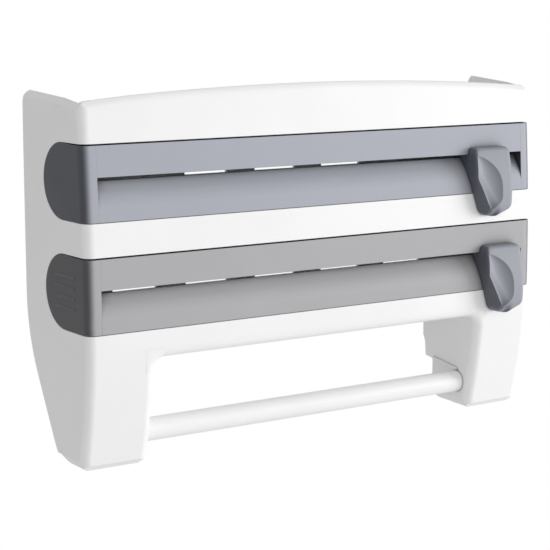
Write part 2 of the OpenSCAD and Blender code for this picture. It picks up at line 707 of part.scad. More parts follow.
// cutter of the thumb scoop, as a ring about its axis
module scoop_ring() rotate_extrude($fn = 180)
    polygon(arc([scoop_long_r - scoop_r, 0], scoop_r, -60, 60, 2*corner_n));
module at_carriage_screws(x, mid) for (s = [-1, 1])
    translate([x + s*stem_x, lip_y(mid) + stem_d + 2*stem_t, lip_h(mid)]) rotate([90, 0, 0]) children();
module knob(x, mid) color([0.66, 0.67, 0.68]) placed() {
    y = lip_y(mid);
    blade_y = y + stem_d + stem_t - blade_t;
    difference() {
        union() {
            intersection() {
                along_x(x - knob_w/2, x + knob_w/2) knob_view(mid);
                translate([x, 0, 0]) along_y(-far, 0) knob_front(mid);
            }
            for (s = [-1, 1])
                block([x + s*stem_x - stem_w/2, y + stem_d, lip_h(mid) - sill_drop - knob_play],
                    [x + s*stem_x + stem_w/2, y + stem_d + stem_t,
                    lip_h(mid) + rail_up - rail_play - carriage_t]);
        }
        translate([x - knob_w/2 + scoop_in, y - scoop_out, lip_h(mid) + knob_rise - scoop_fall])
            rotate([0, -scoop_turn, 0]) rotate([0, 90, 0]) scoop_ring();
        block([x - blade_w/2 - screw_play, blade_y - screw_play, mid - blade_low - screw_play],
            [x + blade_w/2 + screw_play, y + sill_d, lip_h(mid)]);
        block([x - knob_w, y + stem_d + stem_t, lip_h(mid) - sill_drop + knob_play/2],
            [x + knob_w, y + sill_d, lip_h(mid) + rail_up]);
        at_carriage_screws(x, mid) translate([0, 0, stem_t - over])
            cylinder(h = pin_end + screw_play - stem_t + over, r = pin_r + screw_play);
    }
}
module carriage(x, mid) color([0.3, 0.3, 0.32]) placed() {
    y = lip_y(mid);
    low = lip_h(mid) + rail_up - rail_play - carriage_t;
    difference() {
        union() {
            block([x - carriage_w/2, y + rail_d - rail_play - carriage_front_t, low],
                [x + carriage_w/2, y + rail_d + rail_t + rail_play + carriage_t,
                lip_h(mid) + rail_up + rail_h + rail_play + carriage_t]);
            block([x - carriage_w/2, y + stem_d + stem_t, lip_h(mid) - sill_drop + knob_play],
                [x + carriage_w/2, y + stem_d + 2*stem_t, low + over/2]);
        }
        along_x(x - carriage_w, x + carriage_w) rail_view(mid, rail_play);
        at_carriage_screws(x, mid) translate([0, 0, -over])
            cylinder(h = stem_t + 2*over, r = pin_r + screw_play);
    }
}
module blade(x, mid) color([0.8, 0.81, 0.83]) placed() {
    y = lip_y(mid) + stem_d + stem_t;
    top = lip_h(mid) + rail_up - rail_play - carriage_t;
    tip = mid - blade_low;
    along_y(y - blade_t, y) translate([x, 0]) polygon([[-blade_w/2, top], [-blade_w/2, tip + blade_w/3],
        [0, tip], [blade_w/2, tip + blade_w/3], [blade_w/2, top]]);
}
module carriage_screws(x, mid) color([0.7, 0.7, 0.72]) placed() at_carriage_screws(x, mid) {
    translate([0, 0, -pin_head_t]) cylinder(h = pin_head_t, r = pin_head_r);
    translate([0, 0, -pin_head_t/2]) cylinder(h = pin_head_t/2 + pin_end, r = pin_r);
}

module upper_lid() lid(up_mid_h);
module upper_trough() trough(up_mid_h);
module upper_left_cap() left_cap(up_mid_h, []);
module upper_right_cap() right_cap(up_mid_h, []);
module upper_cap_screws() cap_screws(up_mid_h);
module upper_rail() rail(up_mid_h);
module upper_knob() knob(up_knob_x, up_mid_h);
module upper_carriage() carriage(up_knob_x, up_mid_h);
module upper_blade() blade(up_knob_x, up_mid_h);
module upper_carriage_screws() carriage_screws(up_knob_x, up_mid_h);
module lower_lid() lid(low_mid_h);
module lower_trough() trough(low_mid_h);
module lower_left_cap() left_cap(low_mid_h, [-1.5:1.5]);
module lower_right_cap() right_cap(low_mid_h, [-1.5:1.5]);
module lower_cap_screws() cap_screws(low_mid_h);
module lower_rail() rail(low_mid_h);
module lower_knob() knob(low_knob_x, low_mid_h);
module lower_carriage() carriage(low_knob_x, low_mid_h);
module lower_blade() blade(low_knob_x, low_mid_h);
module lower_carriage_screws() carriage_screws(low_knob_x, low_mid_h);

module at_rod() translate([0, -rod_y, rod_h]) rotate([0, 90, 0]) children();
module rod_tube() color([0.94, 0.94, 0.94]) placed() at_rod() difference() {
    cylinder(h = 2*(leg_x + rod_in), r = rod_r, center = true, $fn = 96);
    cylinder(h = 2*(leg_x + rod_in + over), r = rod_bore_r, center = true, $fn = 96);
}
module rod_right_end() color([0.9, 0.9, 0.9]) placed() at_rod() {
    translate([0, 0, leg_x + rod_in + collar_play])
        cylinder(h = collar_t, r = rod_r - collar_play, $fn = 96);
    translate([0, 0, leg_x + rod_in - plug_l])
        cylinder(h = plug_l + collar_play + collar_t/2, r = plug_r, $fn = 96);
}
module rod_left_end() mirror([1, 0, 0]) rod_right_end();

casing();
back_panel();
panel_screws();
upper_lid();
upper_trough();
upper_left_cap();
upper_right_cap();
upper_cap_screws();
upper_rail();
upper_knob();
upper_carriage();
upper_blade();
upper_carriage_screws();
lower_lid();
lower_trough();
lower_left_cap();
lower_right_cap();
lower_cap_screws();
lower_rail();
lower_knob();
lower_carriage();
lower_blade();
lower_carriage_screws();
rod_tube();
rod_left_end();
rod_right_end();
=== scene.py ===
"""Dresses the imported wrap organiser: a white casing, two grey film boxes with cutters and a towel rod.

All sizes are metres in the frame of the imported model: X runs to the right, Y towards the wall and Z up,
with the origin between the two hanging holes.
"""

from __future__ import annotations

import logging
import math
from dataclasses import dataclass
from enum import Enum

import bmesh
import bpy
from mathutils import Matrix, Vector

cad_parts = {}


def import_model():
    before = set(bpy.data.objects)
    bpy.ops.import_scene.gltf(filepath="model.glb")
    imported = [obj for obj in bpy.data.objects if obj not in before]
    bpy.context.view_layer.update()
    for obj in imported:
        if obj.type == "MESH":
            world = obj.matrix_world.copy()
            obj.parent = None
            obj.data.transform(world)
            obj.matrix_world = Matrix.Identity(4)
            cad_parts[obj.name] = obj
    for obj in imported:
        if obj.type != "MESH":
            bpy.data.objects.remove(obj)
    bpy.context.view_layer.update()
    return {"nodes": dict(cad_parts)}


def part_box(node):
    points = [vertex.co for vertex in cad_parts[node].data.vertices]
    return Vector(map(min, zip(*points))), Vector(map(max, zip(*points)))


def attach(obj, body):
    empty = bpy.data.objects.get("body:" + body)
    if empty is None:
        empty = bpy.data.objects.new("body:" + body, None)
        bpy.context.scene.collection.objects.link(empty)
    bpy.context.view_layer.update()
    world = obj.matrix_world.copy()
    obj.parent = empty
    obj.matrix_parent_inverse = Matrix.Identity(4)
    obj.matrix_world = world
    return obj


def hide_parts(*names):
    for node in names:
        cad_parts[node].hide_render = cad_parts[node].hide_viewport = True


LOG = logging.getLogger("wrap_organiser")
MM = 0.001
MERGE_REACH = 2e-6
CUT_REACH = 1e-6

Colour = tuple[float, float, float]
Form = bmesh.types.BMesh
Verts = list[bmesh.types.BMVert]
Node = bpy.types.Node
Piece = bpy.types.Object
Socket = bpy.types.NodeSocket
Tree = bpy.types.NodeTree


class Slot(Enum):
    """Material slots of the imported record."""

    WHITE_SHELL = "white_shell"
    WHITE_PANEL = "white_panel"
    WHITE_ROD = "white_rod"
    UPPER_GREY = "upper_grey"
    LOWER_GREY = "lower_grey"
    KNOB_GREY = "knob_grey"
    CARRIAGE_DARK = "carriage_dark"
    RAIL_METAL = "rail_metal"
    BLADE_STEEL = "blade_steel"
    SCREW_STEEL = "screw_steel"


class Body(Enum):
    """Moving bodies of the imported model."""

    ROOT = "root"
    UPPER_BOX = "upper_box"
    UPPER_CUTTER = "upper_cutter"
    LOWER_BOX = "lower_box"
    LOWER_CUTTER = "lower_cutter"
    ROD_ENDS = "rod_ends"
    ROD = "rod"


class Level(Enum):
    """The two film boxes."""

    UPPER = "upper"
    LOWER = "lower"


def clamped(value: float) -> float:
    """Limits a value to the range from 0 to 1."""
    return min(1.0, max(0.0, value))


def boundary(verts: Verts) -> list[bmesh.types.BMEdge]:
    """Gives the edges at some vertices that border one face only."""
    return list(dict.fromkeys(e for v in verts for e in v.link_edges if e.is_boundary))


def twin_grids(form: Form, columns: int, rows: int) -> tuple[Verts, Verts]:
    """Adds two equal flat grids from -1 to 1, to be shaped into a front and a back.

    Args:
        form: the bmesh that they are added to.
        columns: the number of faces across.
        rows: the number of faces up.

    Returns:
        The vertices of the front and those of the back.
    """
    front = bmesh.ops.create_grid(form, x_segments=columns, y_segments=rows, size=1.0)["verts"]
    edges = list(dict.fromkeys(e for v in front for e in v.link_edges))
    faces = list(dict.fromkeys(f for v in front for f in v.link_faces))
    copied = bmesh.ops.duplicate(form, geom=front + edges + faces)["geom"]
    return front, [g for g in copied if isinstance(g, bmesh.types.BMVert)]


class Graph:
    """Adds and links nodes in one node tree."""

    def __init__(self, tree: Tree) -> None:
        """Keeps the tree that nodes are added to."""
        self.tree = tree

    @classmethod
    def of(cls, owner: bpy.types.Material | bpy.types.World) -> Graph:
        """Gives the graph of a new material or world, emptied of its first nodes.

        Args:
            owner: the material or world.

        Returns:
            Its graph.
        """
        owner.use_nodes = True
        owner.node_tree.nodes.clear()
        return cls(owner.node_tree)

    def add(self, kind: str, inputs: dict[str | int, object] | None = None, **settings: object) -> Node:
        """Adds a node.

        Args:
            kind: Blender's name of the node type.
            inputs: a socket to link, or a value to set, by the input's name or number.
            **settings: properties of the node.

        Returns:
            The new node.
        """
        node = self.tree.nodes.new(kind)
        for name, value in settings.items():
            setattr(node, name, value)
        for key, value in (inputs or {}).items():
            target = node.inputs[key]
            if isinstance(value, Socket):
                self.tree.links.new(value, target)
            elif target.type == "RGBA":
                target.default_value = (*value, 1.0)
            else:
                target.default_value = value
        return node

    def maths(self, operation: str, first: object, second: object = 0.0) -> Socket:
        """Adds a Math node.

        Args:
            operation: the node's operation.
            first: a socket or a number.
            second: a socket or a number.

        Returns:
            The node's output.
        """
        return self.add("ShaderNodeMath", {0: first, 1: second}, operation=operation).outputs[0]

    def spread(self, source: Socket, span: tuple, to: tuple, smooth: bool = False) -> Socket:
        """Adds a Map Range node.

        Args:
            source: the value that is mapped.
            span: the range that is read, as numbers or sockets.
            to: the range that comes out, as numbers or sockets.
            smooth: eases both ends.

        Returns:
            The node's output.
        """
        given = {"Value": source, "From Min": span[0], "From Max": span[1], "To Min": to[0], "To Max": to[1]}
        kind = "SMOOTHSTEP" if smooth else "LINEAR"
        return self.add("ShaderNodeMapRange", given, interpolation_type=kind).outputs[0]

    def blend(self, mask: object, first: object, second: object, kind: str = "MIX") -> Socket:
        """Adds a colour Mix node.

        Args:
            mask: a socket or a number for the factor.
            first: a socket or a colour for A.
            second: a socket or a colour for B.
            kind: the blend type.

        Returns:
            The colour that comes out.
        """
        given = {0: mask, 6: first, 7: second}
        return self.add("ShaderNodeMix", given, data_type="RGBA", blend_type=kind).outputs[2]


class SharedEffects:
    """Shader node groups that several finishes place, each with values of its own."""

    noise_span = (0.3, 0.7)
    edge_span = (0.75, 0.99)
    open_span = (0.25, 0.92)
    grain_gloss = 0.035
    line_gloss = 0.06
    line_scale = (40.0, 4000.0, 4000.0)

    def __init__(self) -> None:
        """Builds each group once."""
        self.grain = self._grain()
        self.edges = self._edges()
        # Painted shade: faces that look sideways or up get a darker colour.
        self.ends = self._ends()
        # Painted shade in narrow clefts and under overhangs, from ambient occlusion.
        self.crevice_shade = self._crevice_shade()
        self.brush = self._brush()

    @staticmethod
    def _start(name: str, inputs: dict[str, float]) -> tuple[Graph, bpy.types.NodeOutputs]:
        """Starts a group.

        Args:
            name: the group's name.
            inputs: the default of each input by its name.

        Returns:
            The group's graph, and the sockets that give its inputs.
        """
        tree = bpy.data.node_groups.new(name, "ShaderNodeTree")
        for label, value in inputs.items():
            socket = tree.interface.new_socket(name=label, in_out="INPUT", socket_type="NodeSocketFloat")
            socket.default_value = value
        graph = Graph(tree)
        return graph, graph.add("NodeGroupInput").outputs

    @staticmethod
    def _close(graph: Graph, outputs: dict[str, Socket]) -> Tree:
        """Gives a group its outputs.

        Args:
            graph: the group's graph.
            outputs: what the group puts out, by name: a vector for Normal and numbers for the rest.

        Returns:
            The finished group.
        """
        for label in outputs:
            kind = "NodeSocketVector" if label == "Normal" else "NodeSocketFloat"
            graph.tree.interface.new_socket(name=label, in_out="OUTPUT", socket_type=kind)
        graph.add("NodeGroupOutput", outputs)
        return graph.tree

    def _grain(self) -> Tree:
        """Makes the fine spark-eroded mould texture with the slow unevenness of moulded plastic.

        Returns:
            The group, with a height, a tint and a shift of the gloss.
        """
        inputs = {"Grain Scale": 1400.0, "Flow Scale": 16.0, "Mottle": 0.02}
        graph, given = self._start("mould_grain", inputs)
        place = graph.add("ShaderNodeTexCoord").outputs["Object"]
        scale = given["Grain Scale"]
        fine = graph.add("ShaderNodeTexNoise", {"Vector": place, "Scale": scale, "Detail": 2.0}).outputs[0]
        scale = given["Flow Scale"]
        slow = graph.add("ShaderNodeTexNoise", {"Vector": place, "Scale": scale, "Detail": 3.0}).outputs[0]
        wave = graph.spread(slow, self.noise_span, (-1.0, 1.0), smooth=True)
        speck = graph.spread(fine, self.noise_span, (-0.5, 0.5))
        both = graph.maths("ADD", wave, speck)
        tint = graph.maths("ADD", graph.maths("MULTIPLY", both, given["Mottle"]), 1.0)
        gloss = graph.maths("MULTIPLY", both, self.grain_gloss)
        return self._close(graph, {"Height": fine, "Tint": tint, "Gloss Shift": gloss})

    def _edges(self) -> Tree:
        """Makes the normal of softened edges and the mask of where they are.

        Returns:
            The group, with a normal and an edge mask.
        """
        graph, given = self._start("soft_edges", {"Radius": 0.5 * MM})
        bevel = graph.add("ShaderNodeBevel", {"Radius": given["Radius"]}, samples=6).outputs[0]
        flat = graph.add("ShaderNodeNewGeometry").outputs["Normal"]
        dot = graph.add("ShaderNodeVectorMath", {0: bevel, 1: flat}, operation="DOT_PRODUCT")
        edge = graph.spread(dot.outputs["Value"], self.edge_span, (1.0, 0.0))
        return self._close(graph, {"Normal": bevel, "Edge": edge})

    def _ends(self) -> Tree:
        """Makes the mask of the faces that look to the left, to the right or up, where painted shade darkens
        the colour.

        Returns:
            The group, with a mask.
        """
        inputs = {"Start": 0.1, "Full": 0.8, "Right Share": 1.0, "Up Share": 0.0}
        graph, given = self._start("painted_side_shade", inputs)
        normal = graph.add("ShaderNodeTexCoord").outputs["Normal"]
        facing = graph.add("ShaderNodeSeparateXYZ", {0: normal}).outputs
        left = graph.maths("MULTIPLY", facing[0], -1.0)
        right = graph.maths("MULTIPLY", facing[0], given["Right Share"])
        up = graph.maths("MULTIPLY", facing[2], given["Up Share"])
        most = graph.maths("MAXIMUM", graph.maths("MAXIMUM", left, right), up)
        mask = graph.spread(most, (given["Start"], given["Full"]), (0.0, 1.0), smooth=True)
        return self._close(graph, {"Mask": mask})

    def _crevice_shade(self) -> Tree:
        """Makes the painted shade that darkens narrow clefts and the faces close under an overhang.

        Returns:
            The group, with the tint of the painted shade.
        """
        graph, given = self._start("crevice_shade", {"Reach": 10.0 * MM, "Darkest": 0.4})
        lit = graph.add("ShaderNodeAmbientOcclusion", {"Distance": given["Reach"]}, samples=8)
        tint = graph.spread(lit.outputs["AO"], self.open_span, (given["Darkest"], 1.0), smooth=True)
        return self._close(graph, {"Tint": tint})

    def _brush(self) -> Tree:
        """Makes the fine lines along X that drawn or ground metal has.

        Returns:
            The group, with a height, a tint and a shift of the gloss.
        """
        graph, given = self._start("drawn_lines", {"Contrast": 0.1})
        place = graph.add("ShaderNodeTexCoord").outputs["Object"]
        drawn = graph.add("ShaderNodeMapping", {"Vector": place, "Scale": self.line_scale}).outputs[0]
        noise = graph.add("ShaderNodeTexNoise", {"Vector": drawn, "Scale": 1.0, "Detail": 3.0}).outputs[0]
        wave = graph.spread(noise, self.noise_span, (-1.0, 1.0))
        tint = graph.maths("ADD", graph.maths("MULTIPLY", wave, given["Contrast"]), 1.0)
        gloss = graph.maths("MULTIPLY", wave, self.line_gloss)
        return self._close(graph, {"Height": noise, "Tint": tint, "Gloss Shift": gloss})


@dataclass(frozen=True)
class Finish:
    """What plastic and metal finishes share."""

    slot: Slot
    colour: Colour
    roughness: float

    def _start(self) -> tuple[bpy.types.Material, Graph]:
        """Starts the material and gives it with its graph."""
        material = bpy.data.materials.new(f"{self.slot.value}_finish")
        return material, Graph.of(material)

    def _surface(
        self, graph: Graph, texture: Node, given: dict[str, object], bump: dict[str, object]
    ) -> None:
        """Adds the shader and the output.

        Args:
            graph: the material's graph.
            texture: the group that gives the relief and shifts the gloss.
            given: the shader's own inputs.
            bump: strength, distance and normal of the relief.
        """
        relief = graph.add("ShaderNodeBump", {"Height": texture.outputs["Height"], **bump})
        gloss = graph.maths("ADD", texture.outputs["Gloss Shift"], self.roughness)
        given = {"Roughness": gloss, "Normal": relief.outputs[0], **given}
        shader = graph.add("ShaderNodeBsdfPrincipled", given)
        graph.add("ShaderNodeOutputMaterial", {"Surface": shader.outputs[0]})


@dataclass(frozen=True)
class Plastic(Finish):
    """A moulded plastic finish, with a painted highlight on its edges and painted shade where its fields ask
    for it.
    """

    # The lighter colour of the painted highlight along softened edges.
    edge_highlight_colour: Colour
    specular: float
    # The side colour, its span and the right and up weights give painted shade to faces that look sideways or
    # up.
    side_shade_colour: Colour | None = None
    side_shade_span: tuple[float, float] = (0.1, 0.8)
    side_shade_right: float = 1.0
    side_shade_up: float = 0.0
    # Reach and darkest tint of the painted shade in clefts and under overhangs.
    gap_shade_reach: float = 3.0 * MM
    gap_shade_tint: float = 0.5
    grain_scale: float = 1400.0
    grain_depth: float = 0.04 * MM
    grain_strength: float = 0.25
    mottle: float = 0.012
    edge_radius: float = 0.5 * MM
    # How much of the painted edge highlight is mixed in.
    edge_highlight_share: float = 0.35

    def build(self, effects: SharedEffects) -> bpy.types.Material:
        """Builds the material.

        Args:
            effects: the shared node groups.

        Returns:
            The new material.
        """
        material, graph = self._start()
        given = {"Grain Scale": self.grain_scale, "Mottle": self.mottle}
        grain = graph.add("ShaderNodeGroup", given, node_tree=effects.grain)
        edges = graph.add("ShaderNodeGroup", {"Radius": self.edge_radius}, node_tree=effects.edges)
        given = {"Reach": self.gap_shade_reach, "Darkest": self.gap_shade_tint}
        gap_shade = graph.add("ShaderNodeGroup", given, node_tree=effects.crevice_shade)
        colour: object = self.colour
        # Painted shade: a darker colour mixed in where faces look sideways or up.
        if self.side_shade_colour is not None:
            start, full = self.side_shade_span
            given = {"Start": start, "Full": full, "Right Share": self.side_shade_right, "Up Share": self.side_shade_up}
            ends = graph.add("ShaderNodeGroup", given, node_tree=effects.ends)
            colour = graph.blend(ends.outputs["Mask"], self.colour, self.side_shade_colour)
        # Painted highlight: the lighter edge colour mixed in along softened edges.
        edge_highlight = graph.maths("MULTIPLY", edges.outputs["Edge"], self.edge_highlight_share)
        # The mould mottle times the painted shade of clefts and overhangs.
        shade = graph.maths("MULTIPLY", grain.outputs["Tint"], gap_shade.outputs["Tint"])
        base = graph.blend(1.0, graph.blend(edge_highlight, colour, self.edge_highlight_colour), shade, "MULTIPLY")
        normal = edges.outputs["Normal"]
        bump = {"Strength": self.grain_strength, "Distance": self.grain_depth, "Normal": normal}
        self._surface(graph, grain, {"Base Color": base, "Specular IOR Level": self.specular}, bump)
        return material


@dataclass(frozen=True)
class Metal(Finish):
    """A drawn, rolled or ground metal finish."""

    contrast: float = 0.1
    line_depth: float = 0.02 * MM
    line_strength: float = 0.2
    edge_radius: float = 0.2 * MM

    def build(self, effects: SharedEffects) -> bpy.types.Material:
        """Builds the material.

        Args:
            effects: the shared node groups.

        Returns:
            The new material.
        """
        material, graph = self._start()
        lines = graph.add("ShaderNodeGroup", {"Contrast": self.contrast}, node_tree=effects.brush)
        edges = graph.add("ShaderNodeGroup", {"Radius": self.edge_radius}, node_tree=effects.edges)
        base = graph.blend(1.0, self.colour, lines.outputs["Tint"], "MULTIPLY")
        normal = edges.outputs["Normal"]
        bump = {"Strength": self.line_strength, "Distance": self.line_depth, "Normal": normal}
        self._surface(graph, lines, {"Base Color": base, "Metallic": 1.0}, bump)
        return material


WHITE = (0.89, 0.89, 0.892)
# Painted highlight along the softened edges of white parts.
WHITE_EDGE_HIGHLIGHT = (0.93, 0.93, 0.93)
# Each edge colour is a painted highlight; the side colours and the cleft tints are painted shade.
FINISHES: tuple[Plastic | Metal, ...] = (
    Plastic(Slot.WHITE_SHELL, WHITE, roughness=0.42, specular=0.4, edge_highlight_colour=WHITE_EDGE_HIGHLIGHT),
    Plastic(Slot.WHITE_PANEL, (0.87, 0.87, 0.87), roughness=0.6, specular=0.3,
            edge_highlight_colour=(0.92, 0.92, 0.92)),
    Plastic(Slot.WHITE_ROD, WHITE, roughness=0.4, specular=0.4, edge_highlight_colour=WHITE_EDGE_HIGHLIGHT),
    # The greys get painted shade on faces that look sideways and strong painted shade in clefts under the
    # lips.
    Plastic(Slot.UPPER_GREY, (0.4, 0.414, 0.462), roughness=0.5, specular=0.25,
            edge_highlight_colour=(0.44, 0.452, 0.5), side_shade_colour=(0.066, 0.068, 0.08),
            gap_shade_reach=11.0 * MM, gap_shade_tint=0.2),
    Plastic(Slot.LOWER_GREY, (0.418, 0.418, 0.43), roughness=0.5, specular=0.25,
            edge_highlight_colour=(0.455, 0.455, 0.465), side_shade_colour=(0.074, 0.074, 0.079),
            gap_shade_reach=11.0 * MM, gap_shade_tint=0.2),
    # The knob's bright edge colour paints the highlight on its rims, and its side colour paints shade on
    # faces that look left or up.
    Plastic(Slot.KNOB_GREY, (0.29, 0.298, 0.342), roughness=0.42, specular=0.35,
            edge_highlight_colour=(0.48, 0.49, 0.55), edge_radius=0.7 * MM, edge_highlight_share=0.5,
            side_shade_colour=(0.095, 0.1, 0.122), side_shade_span=(0.08, 0.72), side_shade_right=0.0, side_shade_up=0.4),
    Plastic(Slot.CARRIAGE_DARK, (0.05, 0.05, 0.053), roughness=0.55, specular=0.35,
            edge_highlight_colour=(0.09, 0.09, 0.095)),
    Metal(Slot.RAIL_METAL, (0.6, 0.605, 0.62), roughness=0.35),
    Metal(Slot.BLADE_STEEL, (0.66, 0.67, 0.69), roughness=0.25, contrast=0.15),
    Metal(Slot.SCREW_STEEL, (0.55, 0.55, 0.57), roughness=0.35, contrast=0.06),
)


class Palette:
    """All finishes by their slot."""

    def __init__(self) -> None:
        """Builds every material once."""
        effects = SharedEffects()
        self._materials = {finish.slot: finish.build(effects) for finish in FINISHES}

    def dress(self, piece: Piece, slot: Slot) -> None:
        """Gives a piece the finish of a slot.

        Args:
            piece: the piece that is dressed.
            slot: the slot of its finish.
        """
        piece.data.materials.clear()
        piece.data.materials.append(self._materials[slot])


@dataclass
class Maker:
    """What every sub-assembly needs to add its pieces."""

    nodes: dict[str, Piece]
    palette: Palette
    normal_weight: int = 80

    def place(self, name: str, form: Form, body: Body, slot: Slot, node: str | None = None,
              smooth_deg: float = 32.0) -> None:
        """Turns a bmesh into a piece that rides on a body.

        Args:
            name: the piece's name.
            form: the finished bmesh, which is freed.
            body: the body that the piece rides on.
            slot: the slot that it takes its finish from.
            node: the CAD node that it stands for, if any.
            smooth_deg: edges that are sharper than this stay sharp.
        """
        mesh = bpy.data.meshes.new(name)
        form.to_mesh(mesh)
        form.free()
        for layer in [a for a in mesh.attributes if a.name == "custom_normal"]:
            mesh.attributes.remove(layer)
        mesh.shade_smooth()
        mesh.set_sharp_from_angle(angle=math.radians(smooth_deg))
        piece = bpy.data.objects.new(name, mesh)
        bpy.context.scene.collection.objects.link(piece)
        weight = piece.modifiers.new("even_shading", "WEIGHTED_NORMAL")
        weight.keep_sharp = True
        weight.weight = self.normal_weight
        self.palette.dress(piece, slot)
        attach(piece, body.value)
        if node is not None:
            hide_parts(node)
        LOG.info("%s rides on %s", name, body.value)

    def skin(self, node: str, body: Body, slot: Slot) -> None:
        """Makes a merged, smoothly shaded copy of a CAD node that stands for it.

        Args:
            node: the node's name.
            body: the body that it rides on.
            slot: the slot of its finish.
        """
        self.place(f"{node}_skin", self.merged(node), body, slot, node)

    def merged(self, node: str) -> Form:
        """Copies a CAD node's mesh and merges its loose triangles.

        Args:
            node: the node's name.

        Returns:
            A new bmesh.
        """
        form = bmesh.new()
        form.from_mesh(self.nodes[node].data)
        bmesh.ops.remove_doubles(form, verts=form.verts, dist=MERGE_REACH)
        bmesh.ops.dissolve_degenerate(form, dist=CUT_REACH, edges=form.edges)
        return form


@dataclass(frozen=True)
class FrontBow:
    """The bowed front that casing and boxes share."""

    depth: float = 85.9 * MM
    bulge_z: float = -133.0 * MM
    upper_radius: float = 1440.0 * MM
    lower_radius: float = 360.0 * MM

    def front_y(self, z: float) -> float:
        """Gives the front's Y at a height."""
        radius = self.upper_radius if z >= self.bulge_z else self.lower_radius
        return radius - self.depth - math.sqrt(radius * radius - (z - self.bulge_z) ** 2)


@dataclass(frozen=True)
class CrossScrew:
    """A domed screw with a cross recess.

    The recess and the brim are in shares of the head's radius, the recess's depth and the dome in shares of
    its height, and the tip in shares of the shank's radius.
    """

    head_radius: float
    head_height: float
    shank_radius: float
    length: float
    recess_half: float = 0.13
    recess_reach: float = 0.62
    recess_depth: float = 0.55
    side_lean: float = 1.15
    end_lean: float = 1.08
    brim: float = 0.85
    dome: float = 0.45
    tip_share: float = 0.6
    sides: int = 24

    def build(self, places: list[Vector], out: Vector) -> Form:
        """Makes one screw at each place.

        Args:
            places: the centres of the heads' undersides.
            out: the direction that the heads face.

        Returns:
            A new bmesh with all the screws.
        """
        form = bmesh.new()
        turn = out.to_track_quat("Z", "Y").to_matrix().to_4x4()
        for place in places:
            made = self._head(form) + self._shank(form)
            bmesh.ops.transform(form, matrix=Matrix.Translation(place) @ turn, verts=made)
        bmesh.ops.recalc_face_normals(form, faces=form.faces)
        return form

    def _head(self, form: Form) -> Verts:
        """Adds a domed head with its recess and its side.

        Args:
            form: the bmesh that it is added to.

        Returns:
            The head's vertices.
        """
        half, reach = self.recess_half, self.recess_reach
        cuts = (0.0, half, half * self.side_lean, reach, reach * self.end_lean, self.brim, 1.0)
        steps = sorted({-c for c in cuts} | set(cuts))
        last = len(steps) - 1
        grid = bmesh.ops.create_grid(form, x_segments=last, y_segments=last, size=1.0)["verts"]
        for vert in grid:
            u, v = (steps[round((c + 1.0) / 2.0 * last)] for c in vert.co.xy)
            x, y = u * math.sqrt(1.0 - v * v / 2.0), v * math.sqrt(1.0 - u * u / 2.0)
            narrow, wide = sorted((abs(u), abs(v)))
            sunk = self.recess_depth if narrow <= half and wide <= reach else 0.0
            z = self.head_height * (1.0 - self.dome * (x * x + y * y) - sunk)
            vert.co = (x * self.head_radius, y * self.head_radius, z)
        side = bmesh.ops.extrude_edge_only(form, edges=boundary(grid))["geom"]
        lower = [g for g in side if isinstance(g, bmesh.types.BMVert)]
        for vert in lower:
            vert.co.z = 0.0
        bmesh.ops.contextual_create(form, geom=[g for g in side if isinstance(g, bmesh.types.BMEdge)])
        return grid + lower

    def _shank(self, form: Form) -> Verts:
        """Adds the shank below the head.

        Args:
            form: the bmesh that it is added to.

        Returns:
            The shank's vertices.
        """
        shank = bmesh.ops.create_cone(
            form, cap_ends=True, segments=self.sides, radius1=self.shank_radius * self.tip_share,
            radius2=self.shank_radius, depth=self.length)["verts"]
        bmesh.ops.translate(form, vec=(0.0, 0.0, -self.length / 2), verts=shank)
        return shank


